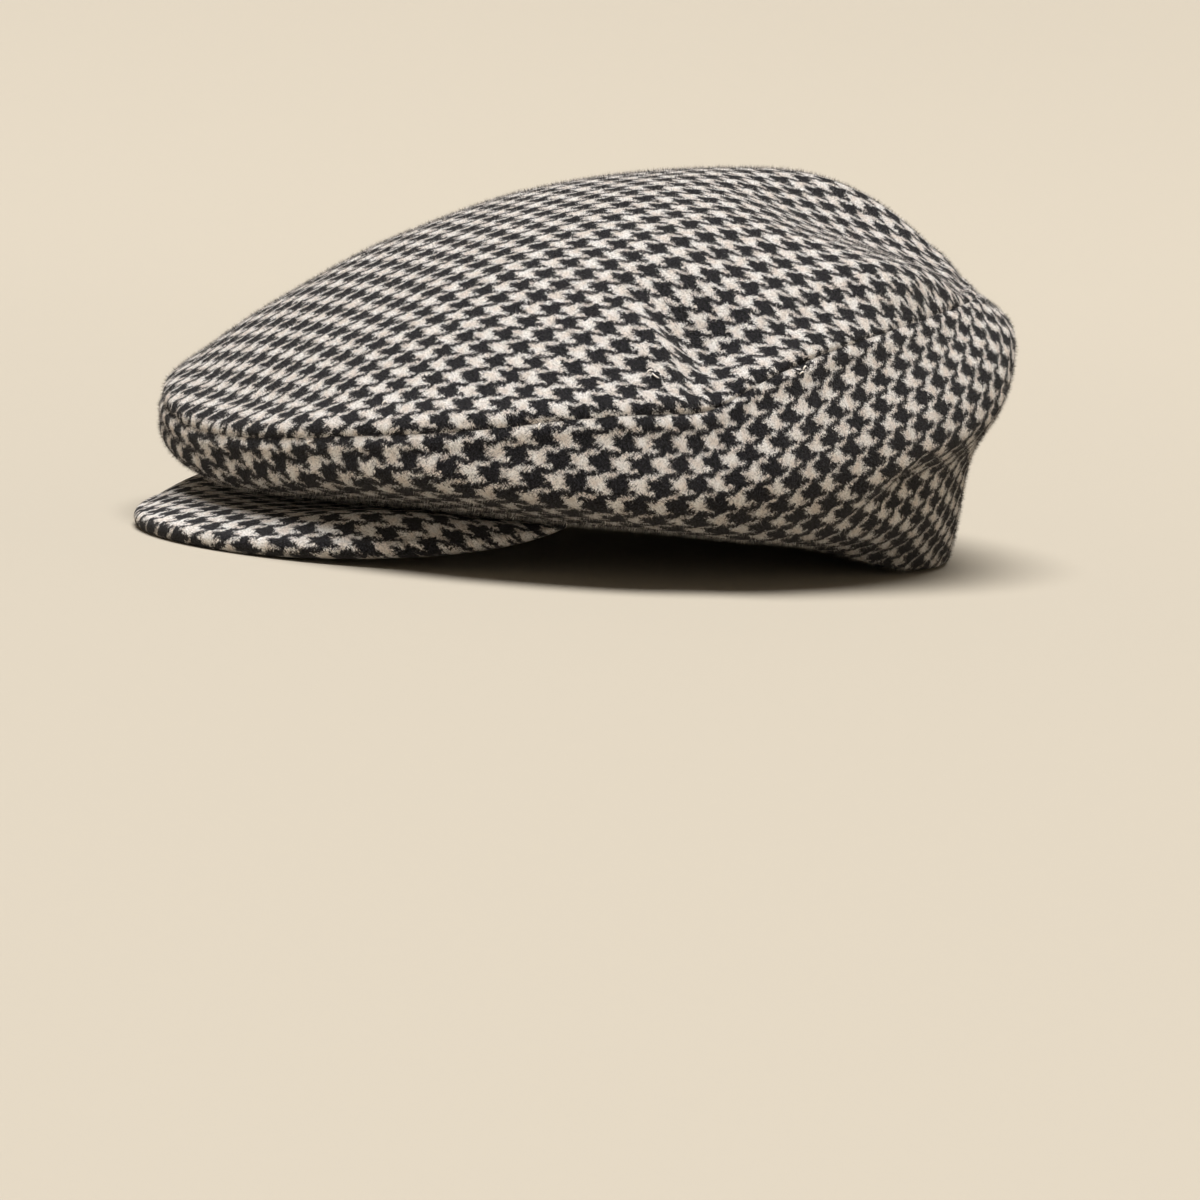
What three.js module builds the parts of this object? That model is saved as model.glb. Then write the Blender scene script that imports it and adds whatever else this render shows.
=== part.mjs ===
// A flat cap in houndstooth wool, resting on a level surface by itself.
// Millimetres, +Z up. The front of the cap points to -Y and the wearer's left to +X.
// Two panels of cloth make the crown, a top and a side, and a short stiff peak is sewn under the front.
import * as THREE from 'three';

// Cloth
const clothThickness = 2;
const hemThickness = 3.4; // the lower edge is turned in and sewn
const hemHeight = 12;
const seamGap = 0.3; // clear space between pieces that are sewn together

// Crown sections, one row for each step of azimuth from the centre front to the centre back.
// The other half of the cap mirrors them. "Out" is the distance from the middle of the head opening
// and "Up" the height, on the outside of the cloth: at the rim, at the waist just above it, at the
// fullest part of the side and at the seam. The top panel rolls over to the seam from its shoulder,
// which lies "shoulderIn" inside the seam.
const stationStep = 30;
const stationColumns = [
  'rimOut', 'rimUp', 'waistOut', 'waistUp', 'bulgeOut', 'bulgeUp',
  'seamOut', 'seamUp', 'shoulderIn', 'shoulderUp',
];
const stationRows = [
  [96, 12.5, 111, 13.4, 130.6, 16, 134.2, 29, 12, 40.6], // centre front
  [93.7, 13.8, 109.2, 16, 130.8, 23.2, 131, 36, 11.8, 48.4],
  [88.3, 12.8, 112.5, 16.6, 122.8, 24.6, 116.8, 46, 13, 59.6],
  [84.8, 10, 101.8, 14.5, 109.7, 35, 98.6, 64, 12.8, 73.1], // side
  [87.4, 1.5, 103.5, 22, 107, 48.7, 92.5, 73.2, 12.4, 86.6],
  [94.7, 0, 101, 28.2, 108.4, 65, 97, 77.5, 12.4, 89.5],
  [96.8, 0, 100.2, 31.1, 109.3, 67, 99.2, 76.7, 12.5, 89.9], // centre back
];

// Middle of the top panel
const crownUp = 108.2;
const crownBack = 45.2; // how far the middle lies behind the middle of the head opening
const crownPower = 2.16; // how the height falls off towards the shoulder
const rollShare = 0.25; // share of the top's section that the roll at its edge takes

// Crease where the full side steps in over the fitted back, from its lower end to the centre back.
// Below it the side lies "depth" further in, and comes out again towards the rim. The step is spread
// over "halfHeight" above and below the crease, and is softer at the back.
const creaseRimHeight = 30; // height above the rim where the step has its full depth
const creaseColumns = ['azimuth', 'up', 'depth', 'halfHeight'];
const creaseRows = [
  [84, 8, 0, 5],
  [89, 13, 3.5, 5],
  [96.5, 25, 7, 5],
  [106, 33, 8.5, 5],
  [120, 37, 7.5, 7],
  [140, 44, 5, 12],
  [180, 44, 3.2, 12],
];
const rightCreaseShare = 0.7; // the crease is shallower on the wearer's right

// Broad dents (rise below zero) and ridges of the top panel, placed from the middle of the head opening
const foldColumns = ['across', 'along', 'heading', 'halfLength', 'halfWidth', 'rise'];
const foldRows = [
  [54, 36, -28, 34, 12, -5], // sunken shelf behind the left shoulder, in three strips
  [40, 46, -30, 32, 13, -9],
  [28, 56, -34, 28, 10, -5],
  [79, 29, 2, 34, 9, 4], // ridge along the left shoulder
  [68, 56, -35, 20, 9, 3], // and round its back
  [89, -37, 27, 25, 12, -2.5], // pull above the pucker in the seam
  [81.5, -33.8, -42, 14, 7.5, -5], // and the dent that it leaves, steep on its inner side
  [-47, 42, 30, 32, 16, -5], // fainter shelf and ridge on the right
  [-79, 29, -2, 34, 10, 2.5],
];
const foldFade = 0.12; // share of the top's section over which folds die away at the seam

// Puckers of the seam: how far it drops and draws in
const puckerColumns = ['azimuth', 'halfWidth', 'drop', 'inset'];
const puckerRows = [
  [50, 10, -1.6, 0],
  [69, 6, 3, 1.5],
];

// Upright dents and swells of the side panel: share runs from the rim (0) to the seam (1)
const swellColumns = ['azimuth', 'share', 'halfTurn', 'halfShare', 'rise'];
const swellRows = [
  [68, 0.72, 5, 0.25, -2], // dent below the pucker
  [79, 0.68, 7, 0.25, 1.2],
  [292, 0.7, 7, 0.25, -1.2],
];
const swellFade = 0.85; // share from which they die away towards the seam

// Peak
const peakThickness = 5;
const peakEndThickness = 1.2;
const peakEndTaper = 5; // how late along the peak that thinning comes
const peakSpan = 48.1; // azimuth of its ends
const peakReach = 51; // how far it stands out in front of the rim
const peakRoundness = 1.08; // above 1 its plan is slimmer than a parabola
const peakEdgePower = 2.08; // how its edge climbs from the tip to its ends
const peakFlattening = 0.4; // how far the tip is pressed flat by the surface
const peakCrown = 2.2; // how far it bulges up in the middle
const peakArch = 4.4; // how much further it bulges on both sides, so that its edge turns down there
const peakArchPlace = 0.58; // share of the way to its ends where that is most
const peakArchWidth = 0.27;
const peakBulgePower = 1.7; // above 1 the bulge is fullest nearer to the edge than to the rim

// Fineness of the meshes
const aroundSteps = 72;
const sideSteps = 14;
const topSteps = 16;
const peakSteps = 36;
const peakDepthSteps = 8;
const peakEdgeSteps = 5;

const smoothStep = THREE.MathUtils.smoothstep;
const lerp = THREE.MathUtils.lerp;
const bell = (x) => Math.exp(-x * x);

function rowsOf(columns, rows) {
  return rows.map((row) => Object.fromEntries(columns.map((name, k) => [name, row[k]])));
}

const stations = rowsOf(stationColumns, stationRows);
const creases = rowsOf(creaseColumns, creaseRows);
const folds = rowsOf(foldColumns, foldRows);
const puckers = rowsOf(puckerColumns, puckerRows);
const swells = rowsOf(swellColumns, swellRows);

// The origin is under the middle of the cap's box, so the head opening lies a little behind it
const rimCentreY = (stations[0].rimOut + peakReach - stations.at(-1).bulgeOut) / 2;

// Smooth curve through b and c, whose neighbours are a and d
function smoothBetween(a, b, c, d, f) {
  return b + 0.5 * f * (c - a + f * (2 * a - 5 * b + 4 * c - d + f * (3 * (b - c) + d - a)));
}

function stationAt(azimuth) {
  const count = 360 / stationStep;
  const turn = THREE.MathUtils.euclideanModulo(azimuth, 360) / stationStep;
  const first = Math.floor(turn);
  const rows = [-1, 0, 1, 2].map((k) => {
    const index = (first + k + count) % count;
    return stations[Math.min(index, count - index)];
  });
  const station = {};
  for (const name of stationColumns) {
    station[name] = smoothBetween(...rows.map((row) => row[name]), turn - first);
  }
  station.rimUp = Math.max(0, station.rimUp);
  for (const pucker of puckers) {
    const pull = bell((azimuth - pucker.azimuth) / pucker.halfWidth);
    station.seamUp -= pucker.drop * pull;
    station.seamOut -= pucker.inset * pull;
  }
  return station;
}

// How far the back crease takes the side in, at an azimuth and a height
function creaseDepth(azimuth, up, rimUp) {
  const mirrored = Math.min(azimuth, 360 - azimuth);
  const next = creases.findIndex((row) => row.azimuth >= mirrored);
  if (next < 1) return 0;
  const [from, to] = [creases[next - 1], creases[next]];
  const f = (mirrored - from.azimuth) / (to.azimuth - from.azimuth);
  const middle = lerp(from.up, to.up, f);
  const depth = lerp(from.depth, to.depth, f) * (azimuth > 180 ? rightCreaseShare : 1);
  const half = lerp(from.halfHeight, to.halfHeight, f);
  const below = 1 - smoothStep(up, middle - half, middle + half);
  return depth * below * smoothStep(up - rimUp, 0, creaseRimHeight);
}

function placed(azimuth, out, up, back = 0) {
  const angle = THREE.MathUtils.degToRad(azimuth);
  return new THREE.Vector3(out * Math.sin(angle), rimCentreY + back - out * Math.cos(angle), up);
}

// How far the dents and swells move the side panel out
function swellRise(azimuth, share) {
  let rise = 0;
  for (const swell of swells) {
    const turn = (azimuth - swell.azimuth) / swell.halfTurn;
    rise += swell.rise * bell(turn) * bell((share - swell.share) / swell.halfShare);
  }
  return rise * (1 - smoothStep(share, swellFade, 1));
}

// A point of the side panel's outside, from the rim (share 0) to the seam (share 1)
function sidePoint(azimuth, share) {
  const s = stationAt(azimuth);
  const outs = [s.rimOut, s.waistOut, s.bulgeOut, s.seamOut];
  const ups = [s.rimUp, s.waistUp, s.bulgeUp, s.seamUp];
  const spans = outs.length - 1;
  const span = Math.min(Math.floor(share * spans), spans - 1);
  const along = (values) => {
    const chain = [2 * values[0] - values[1], ...values, 2 * values.at(-1) - values.at(-2)];
    return smoothBetween(...chain.slice(span, span + 4), share * spans - span);
  };
  const up = along(ups);
  const out = along(outs) + swellRise(azimuth, share) - creaseDepth(azimuth, up, s.rimUp);
  return placed(azimuth, out, up);
}

// How far the folds lift the top panel at a place in plan
function foldRise(point) {
  let rise = 0;
  for (const fold of folds) {
    const heading = THREE.MathUtils.degToRad(fold.heading);
    const dx = point.x - fold.across;
    const dy = point.y - rimCentreY - fold.along;
    const lengthwise = dy * Math.cos(heading) - dx * Math.sin(heading);
    const crosswise = dx * Math.cos(heading) + dy * Math.sin(heading);
    rise += fold.rise * bell(lengthwise / fold.halfLength) * bell(crosswise / fold.halfWidth);
  }
  return rise;
}

// Smooth curve from one place to another with given directions there, for one coordinate
function bend(from, fromSlope, to, toSlope, f) {
  const g = 1 - f;
  return g * g * ((1 + 2 * f) * from + f * fromSlope) + f * f * ((3 - 2 * f) * to - g * toSlope);
}

// A point of the top panel's outside, from the seam (share 0) to its middle (share 1).
// Its edge leaves the seam in the direction in which the side panel comes up to it.
function topPoint(azimuth, share) {
  const s = stationAt(azimuth);
  const shoulderOut = s.seamOut - s.shoulderIn;
  const rise = crownUp - s.shoulderUp;
  let point;
  if (share < rollShare) {
    const f = share / rollShare;
    const reach = Math.hypot(s.shoulderIn, s.shoulderUp - s.seamUp);
    const start = new THREE.Vector2(s.seamOut - s.bulgeOut, s.seamUp - s.bulgeUp).setLength(reach);
    const end = new THREE.Vector2(-1, (crownPower * rise) / shoulderOut).setLength(reach);
    const out = bend(s.seamOut, start.x, shoulderOut, end.x, f);
    point = placed(azimuth, out, bend(s.seamUp, start.y, s.shoulderUp, end.y, f));
  } else {
    const rho = (1 - share) / (1 - rollShare);
    point = placed(azimuth, shoulderOut * rho, crownUp - rise * rho ** crownPower, crownBack * (1 - rho));
  }
  point.z += foldRise(point) * smoothStep(share, 0, foldFade);
  return point;
}

const probe = 0.004; // small step in share for directions along a panel
const probeTurn = 1; // and small step in azimuth for directions round it

// Outward direction of a panel, from its neighbours round the cap and along its section
function outward(panel, azimuth, share) {
  const around = panel(azimuth + probeTurn, share).sub(panel(azimuth - probeTurn, share));
  const upper = panel(azimuth, Math.min(share + probe, 1));
  const along = upper.sub(panel(azimuth, Math.max(share - probe, 0)));
  return around.cross(along).normalize();
}

// Direction along a panel's section, away from the seam or towards it
function sectionDirection(panel, azimuth, fromShare, toShare) {
  return panel(azimuth, toShare).sub(panel(azimuth, fromShare)).normalize();
}

const azimuths = Array.from({ length: aroundSteps }, (_, k) => (k * 360) / aroundSteps);

// Joins rings of points one after another into a skin. A ring of one point closes an end.
function skin(rings, looped) {
  const positions = rings.flat().flatMap((p) => [p.x, p.y, p.z]);
  const starts = [];
  let total = 0;
  for (const ring of rings) {
    starts.push(total);
    total += ring.length;
  }
  const index = [];
  const last = looped ? rings.length : rings.length - 1;
  for (let i = 0; i < last; i++) {
    const j = (i + 1) % rings.length;
    const count = Math.max(rings[i].length, rings[j].length);
    for (let k = 0; k < count; k++) {
      const a = starts[i] + (k % rings[i].length);
      const b = starts[i] + ((k + 1) % rings[i].length);
      const c = starts[j] + ((k + 1) % rings[j].length);
      const d = starts[j] + (k % rings[j].length);
      if (a !== b) index.push(a, b, c);
      if (c !== d) index.push(a, c, d);
    }
  }
  const geometry = new THREE.BufferGeometry();
  geometry.setAttribute('position', new THREE.Float32BufferAttribute(positions, 3));
  geometry.setIndex(index);
  geometry.computeVertexNormals();
  return geometry;
}

// At the seam both panels are cut along the line that halves the angle between them
function seamInward(azimuth) {
  return outward(sidePoint, azimuth, 1).add(outward(topPoint, azimuth, 0)).normalize().negate();
}

function crownSide() {
  const outer = [];
  const inner = [];
  for (let i = 0; i <= sideSteps; i++) {
    const share = i / sideSteps;
    const outerRing = [];
    const innerRing = [];
    for (const azimuth of azimuths) {
      const point = sidePoint(azimuth, share);
      let inward = outward(sidePoint, azimuth, share).negate();
      const above = point.z - stationAt(azimuth).rimUp;
      const thickness = lerp(hemThickness, clothThickness, smoothStep(above, hemHeight / 2, hemHeight));
      if (i === 0) inward = placed(azimuth, -1, 0).sub(placed(azimuth, 0, 0));
      if (i === sideSteps) {
        inward = seamInward(azimuth);
        point.addScaledVector(sectionDirection(sidePoint, azimuth, 1, 1 - probe), seamGap / 2);
      }
      outerRing.push(point);
      innerRing.push(point.clone().addScaledVector(inward, thickness));
    }
    outer.push(outerRing);
    inner.push(innerRing);
  }
  return skin([...outer, ...inner.reverse()], true);
}

function crownTop() {
  const outer = [];
  const inner = [];
  for (let i = 0; i < topSteps; i++) {
    const share = i / topSteps;
    const outerRing = [];
    const innerRing = [];
    for (const azimuth of azimuths) {
      const point = topPoint(azimuth, share);
      let inward = outward(topPoint, azimuth, share).negate();
      if (i === 0) {
        inward = seamInward(azimuth);
        point.addScaledVector(sectionDirection(topPoint, azimuth, 0, probe), seamGap / 2);
      }
      outerRing.push(point);
      innerRing.push(point.clone().addScaledVector(inward, clothThickness));
    }
    outer.push(outerRing);
    inner.push(innerRing);
  }
  const middle = topPoint(0, 1);
  const middleInside = middle.clone().setZ(middle.z - clothThickness);
  return skin([[middleInside], ...inner.reverse(), ...outer, [middle]], false);
}

// Outline of the peak's section at a place along it, from -1 at one end to 1 at the other
function peakSection(along) {
  const azimuth = along * peakSpan;
  const { rimOut, rimUp } = stationAt(azimuth);
  const away = Math.abs(along);
  const thickness = lerp(peakThickness, peakEndThickness, away ** peakEndTaper);
  const innerOut = rimOut - hemThickness;
  const roundOut = rimOut + peakReach * (1 - along * along) ** peakRoundness - thickness / 2;
  const innerUp = rimUp - seamGap - thickness;
  const edgeUp = Math.max(0, lerp(-peakFlattening, innerUp, away ** peakEdgePower));
  const arch = peakArch * bell((away - peakArchPlace) / peakArchWidth);
  const crown = (peakCrown + arch) * (1 - along * along);
  const under = [];
  for (let i = 0; i <= peakDepthSteps; i++) {
    const f = i / peakDepthSteps;
    const up = lerp(innerUp, edgeUp, f) + crown * Math.sin(Math.PI * f ** peakBulgePower);
    under.push([lerp(innerOut, Math.max(roundOut, innerOut + thickness), f), up]);
  }
  const [edgeOut, lowUp] = under.at(-1);
  const rolled = [];
  for (let i = 1; i < peakEdgeSteps; i++) {
    const angle = (Math.PI * i) / peakEdgeSteps;
    rolled.push([
      edgeOut + (thickness / 2) * Math.sin(angle),
      lowUp + (thickness / 2) * (1 - Math.cos(angle)),
    ]);
  }
  const over = under.map(([out, up]) => [out, up + thickness]).reverse();
  return [...under, ...rolled, ...over].map(([out, up]) => placed(azimuth, out, up));
}

function peakBody() {
  const sections = [];
  for (let i = 0; i <= peakSteps; i++) {
    sections.push(peakSection(1 - (2 * i) / peakSteps));
  }
  const middleOf = (ring) => {
    const sum = ring.reduce((total, point) => total.add(point), new THREE.Vector3());
    return sum.divideScalar(ring.length);
  };
  return skin([[middleOf(sections[0])], ...sections, [middleOf(sections.at(-1))]], false);
}

const cap = new THREE.Group();
const pieces = [
  { name: 'crown_top', geometry: crownTop(), colour: 0x7f7a76 },
  { name: 'crown_side', geometry: crownSide(), colour: 0x77726e },
  { name: 'peak', geometry: peakBody(), colour: 0x6f6a66 },
];
for (const { name, geometry, colour } of pieces) {
  const wool = new THREE.MeshStandardMaterial({ color: colour, roughness: 0.95, metalness: 0 });
  const mesh = new THREE.Mesh(geometry, wool);
  mesh.name = name;
  cap.add(mesh);
}

export default cap;
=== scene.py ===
# A flat cap in houndstooth wool, lying by itself on a pale floor. Metres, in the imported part's frame:
# the peak points to -Y and the wearer's left to +X.
import math
import bpy
import numpy as np
from mathutils import Matrix, Vector


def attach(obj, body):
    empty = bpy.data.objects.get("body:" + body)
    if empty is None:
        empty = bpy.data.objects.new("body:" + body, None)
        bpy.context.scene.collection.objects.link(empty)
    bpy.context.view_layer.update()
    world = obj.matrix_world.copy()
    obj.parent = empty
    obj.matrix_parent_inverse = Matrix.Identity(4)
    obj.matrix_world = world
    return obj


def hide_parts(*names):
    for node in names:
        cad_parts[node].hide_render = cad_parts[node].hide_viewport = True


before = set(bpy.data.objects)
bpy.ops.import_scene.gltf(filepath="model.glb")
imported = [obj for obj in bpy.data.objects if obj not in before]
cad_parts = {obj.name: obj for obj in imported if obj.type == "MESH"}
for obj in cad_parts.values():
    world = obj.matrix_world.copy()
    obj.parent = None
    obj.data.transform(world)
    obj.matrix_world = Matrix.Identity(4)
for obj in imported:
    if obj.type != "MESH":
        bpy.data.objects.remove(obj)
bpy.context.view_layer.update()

mm = 0.001
scene = bpy.context.scene

# Sizes of the cut, in millimetres, as in the part's source
capCut = {
    "cloth": 2.0,
    "hem": 3.4,
    "hemHeight": 12.0,
    "seamGap": 0.12,
    "stationStep": 30,
    "stations": (  # rim, waist, fullest part and seam (out, up), then the shoulder of the top (in, up)
        (96, 12.5, 111, 13.4, 130.6, 16, 134.2, 29, 12, 40.6),  # centre front
        (93.7, 13.8, 109.2, 16, 130.8, 23.2, 131, 36, 11.8, 48.4),
        (88.3, 12.8, 112.5, 16.6, 122.8, 24.6, 116.8, 46, 13, 59.6),
        (84.8, 10, 101.8, 14.5, 109.7, 35, 98.6, 64, 12.8, 73.1),  # side
        (87.4, 1.5, 103.5, 22, 107, 48.7, 92.5, 73.2, 12.4, 86.6),
        (94.7, 0, 101, 28.2, 108.4, 65, 97, 77.5, 12.4, 89.5),
        (96.8, 0, 100.2, 31.1, 109.3, 67, 99.2, 76.7, 12.5, 89.9),  # centre back
    ),
    "crownUp": 108.2,
    "crownBack": 45.2,
    "crownPower": 2.16,
    "rollShare": 0.25,
    "creaseRimHeight": 30,
    "creases": (  # azimuth, up, depth, half height
        (84, 8, 0, 5), (89, 13, 3.5, 5), (96.5, 25, 7, 5), (106, 33, 8.5, 5),
        (120, 37, 7.5, 7), (140, 44, 5, 12), (180, 44, 3.2, 12)),
    "rightCreaseShare": 0.7,
    "folds": (  # across, along, heading, half length, half width, rise
        (54, 36, -28, 34, 12, -5),
        (40, 46, -30, 32, 13, -9),
        (28, 56, -34, 28, 10, -5),
        (79, 29, 2, 34, 9, 4),
        (68, 56, -35, 20, 9, 3),
        (89, -37, 27, 25, 12, -2.5),
        (81.5, -33.8, -42, 14, 7.5, -5),
        (-47, 42, 30, 32, 16, -5),
        (-79, 29, -2, 34, 10, 2.5),
    ),
    "foldFade": 0.12,
    "tucks": (  # small gathers that run in from the seam above the pucker, in the same columns
        (92, -35, 90, 14, 5.5, -2.2),
        (93, -42.5, 85, 10, 2.4, -1.3),
        (88, -47, 90, 15, 7, 1.6),
    ),
    "tuckFade": 0.05,
    "puckers": ((50, 10, -1.6, 0), (69, 6, 3, 1.5)),  # azimuth, half width, drop, inset
    "swells": ((68, 0.72, 5, 0.25, -2), (79, 0.68, 7, 0.25, 1.2), (292, 0.7, 7, 0.25, -1.2)),
}
stationNames = ("rimOut", "rimUp", "waistOut", "waistUp", "bulgeOut", "bulgeUp",
                "seamOut", "seamUp", "shoulderIn", "shoulderUp")
peakCut = {
    "thickness": 5.0,
    "endThickness": 1.2,
    "endTaper": 5,
    "span": 48.1,
    "reach": 51.0,
    "roundness": 1.08,
    "edgePower": 2.08,
    "flattening": 0.4,
    "crown": 2.2,
    "arch": 4.4,
    "archPlace": 0.58,
    "archWidth": 0.27,
    "bulgePower": 1.7,
}
stationTable = np.array(capCut["stations"], float)
rimCentreY = (stationTable[0, 0] + peakCut["reach"] - stationTable[-1, 4]) / 2


def bell(x):
    return np.exp(-x * x)


def smoothStep(x, low, high):
    t = np.clip((x - low) / (high - low), 0, 1)
    return t * t * (3 - 2 * t)


def smoothBetween(a, b, c, d, f):
    return b + 0.5 * f * (c - a + f * (2 * a - 5 * b + 4 * c - d + f * (3 * (b - c) + d - a)))


def stationAt(azimuth):
    azimuth = np.mod(azimuth, 360)
    count = 360 // capCut["stationStep"]
    turn = azimuth / capCut["stationStep"]
    first = np.floor(turn).astype(int)
    rows = [np.mod(first + k, count) for k in (-1, 0, 1, 2)]
    rows = [stationTable[np.minimum(row, count - row)] for row in rows]
    values = smoothBetween(*rows, (turn - first)[..., None])
    station = {name: values[..., k] for k, name in enumerate(stationNames)}
    station["rimUp"] = np.maximum(0, station["rimUp"])
    for centre, halfWidth, drop, inset in capCut["puckers"]:
        pull = bell((azimuth - centre) / halfWidth)
        station["seamUp"] = station["seamUp"] - drop * pull
        station["seamOut"] = station["seamOut"] - inset * pull
    return station


def creaseDepth(azimuth, up, rimUp):
    azimuth = np.mod(azimuth, 360)
    table = np.array(capCut["creases"], float)
    mirrored = np.minimum(azimuth, 360 - azimuth)
    middle, depth, half = (np.interp(mirrored, table[:, 0], table[:, k]) for k in (1, 2, 3))
    depth = depth * np.where(azimuth > 180, capCut["rightCreaseShare"], 1)
    below = 1 - smoothStep(up, middle - half, middle + half)
    return depth * below * smoothStep(up - rimUp, 0, capCut["creaseRimHeight"])


def swellRise(azimuth, share):
    rise = np.zeros_like(share)
    for centre, middle, halfTurn, halfShare, height in capCut["swells"]:
        rise += height * bell((np.mod(azimuth, 360) - centre) / halfTurn) * bell((share - middle) / halfShare)
    return rise * (1 - smoothStep(share, 0.85, 1))


def placed(azimuth, out, up, back=0):
    angle = np.radians(azimuth)
    y = rimCentreY + back - out * np.cos(angle)
    return np.stack([out * np.sin(angle), y, up + 0 * out], -1)


def sidePoint(azimuth, share):  # outside of the side panel, from the rim (0) to the seam (1)
    azimuth, share = np.broadcast_arrays(np.asarray(azimuth, float), np.asarray(share, float))
    s = stationAt(azimuth)
    span = np.minimum(np.floor(share * 3).astype(int), 2)

    def along(names):
        values = [s[name] for name in names]
        chain = np.stack([2 * values[0] - values[1], *values, 2 * values[3] - values[2]])
        picked = [np.take_along_axis(chain, (span + k)[None], 0)[0] for k in range(4)]
        return smoothBetween(*picked, share * 3 - span)

    up = along(("rimUp", "waistUp", "bulgeUp", "seamUp"))
    out = along(("rimOut", "waistOut", "bulgeOut", "seamOut"))
    return placed(azimuth, out + swellRise(azimuth, share) - creaseDepth(azimuth, up, s["rimUp"]), up)


def foldRise(x, y, rows):
    total = np.zeros_like(x)
    for across, along, heading, halfLength, halfWidth, rise in rows:
        angle = math.radians(heading)
        dx = x - across
        dy = y - rimCentreY - along
        lengthwise = dy * math.cos(angle) - dx * math.sin(angle)
        crosswise = dx * math.cos(angle) + dy * math.sin(angle)
        total += rise * bell(lengthwise / halfLength) * bell(crosswise / halfWidth)
    return total


def bend(start, startSlope, end, endSlope, f):
    g = 1 - f
    return g * g * ((1 + 2 * f) * start + f * startSlope) + f * f * ((3 - 2 * f) * end - g * endSlope)


def topPoint(azimuth, share):  # outside of the top panel, from the seam (0) to its middle (1)
    azimuth, share = np.broadcast_arrays(np.asarray(azimuth, float), np.asarray(share, float))
    s = stationAt(azimuth)
    shoulderOut = s["seamOut"] - s["shoulderIn"]
    rise = capCut["crownUp"] - s["shoulderUp"]
    f = np.clip(share / capCut["rollShare"], 0, 1)
    reach = np.hypot(s["shoulderIn"], s["shoulderUp"] - s["seamUp"])
    start = np.stack([s["seamOut"] - s["bulgeOut"], s["seamUp"] - s["bulgeUp"]])
    start = start * reach / np.hypot(*start)
    end = np.stack([-np.ones_like(rise), capCut["crownPower"] * rise / shoulderOut])
    end = end * reach / np.hypot(*end)
    rolled = placed(azimuth, bend(s["seamOut"], start[0], shoulderOut, end[0], f),
                    bend(s["seamUp"], start[1], s["shoulderUp"], end[1], f))
    rho = np.clip((1 - share) / (1 - capCut["rollShare"]), 0, 1)
    domed = placed(azimuth, shoulderOut * rho, capCut["crownUp"] - rise * rho ** capCut["crownPower"],
                   capCut["crownBack"] * (1 - rho))
    point = np.where((share < capCut["rollShare"])[..., None], rolled, domed)
    rise = foldRise(point[..., 0], point[..., 1], capCut["folds"]) * smoothStep(share, 0, capCut["foldFade"])
    rise += foldRise(point[..., 0], point[..., 1], capCut["tucks"]) * smoothStep(share, 0, capCut["tuckFade"])
    point[..., 2] += rise
    return point


def unit(vectors):
    return vectors / np.maximum(np.linalg.norm(vectors, axis=-1, keepdims=True), 1e-12)


def outward(panel, azimuth, share):
    around = panel(azimuth + 1, share) - panel(azimuth - 1, share)
    along = panel(azimuth, np.minimum(share + 0.004, 1)) - panel(azimuth, np.maximum(share - 0.004, 0))
    return unit(np.cross(around, along))


# How the sewn cloth gives: edges rolled into the seam, the turned-in allowance under it, and soft unevenness
woolRelief = {
    "rollDepth": 0.3,
    "rollWidth": 0.8,
    "pinches": ((67, 4.5, 0.6), (84, 3.5, 0.8), (128, 3, 0.6)),  # azimuth, half width, extra depth
    "allowanceRise": 0.9,
    "allowanceFrom": 2.8,
    "allowanceWidth": 1.9,
    "rippleRise": 0.3,
    "rippleLength": 10,
    "sagRise": 0.35,
    "sagLength": 30,
}


def unevenness(points, length):
    total = np.zeros(points.shape[:-1])
    for k, heading in enumerate(((1, 0.3, 0.5), (-0.4, 1, 0.3), (0.6, -0.7, 0.8), (0.2, 0.8, -0.9))):
        total += np.sin(points @ np.array(heading) * 2 * math.pi / (length * (1 + 0.23 * k)) + 1.7 * k)
    return total / 4


def seamRelief(points, fromSeam, azimuth, allowance):
    r = woolRelief
    depth = r["rollDepth"] * (1 + 0.7 * unevenness(points, 17))
    for centre, halfWidth, extra in r["pinches"]:
        depth = depth + extra * bell((azimuth - centre) / halfWidth)
    relief = -depth * bell(fromSeam / r["rollWidth"])
    front = 0.35 + 0.65 * bell(np.mod(azimuth + 180, 360) / 75 - 180 / 75)
    relief += allowance * front * r["allowanceRise"] * bell((fromSeam - r["allowanceFrom"]) / r["allowanceWidth"])
    ripple = unevenness(points, r["rippleLength"]) * bell((fromSeam - 5) / 6)
    away = smoothStep(fromSeam, 2, 14)
    return relief + r["rippleRise"] * ripple + r["sagRise"] * unevenness(points, r["sagLength"]) * away


def sectionLength(points):  # distance along each section, in millimetres
    steps = np.linalg.norm(np.diff(points, axis=1), axis=-1)
    return np.concatenate([np.zeros((len(points), 1)), np.cumsum(steps, axis=1)], 1)


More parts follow.
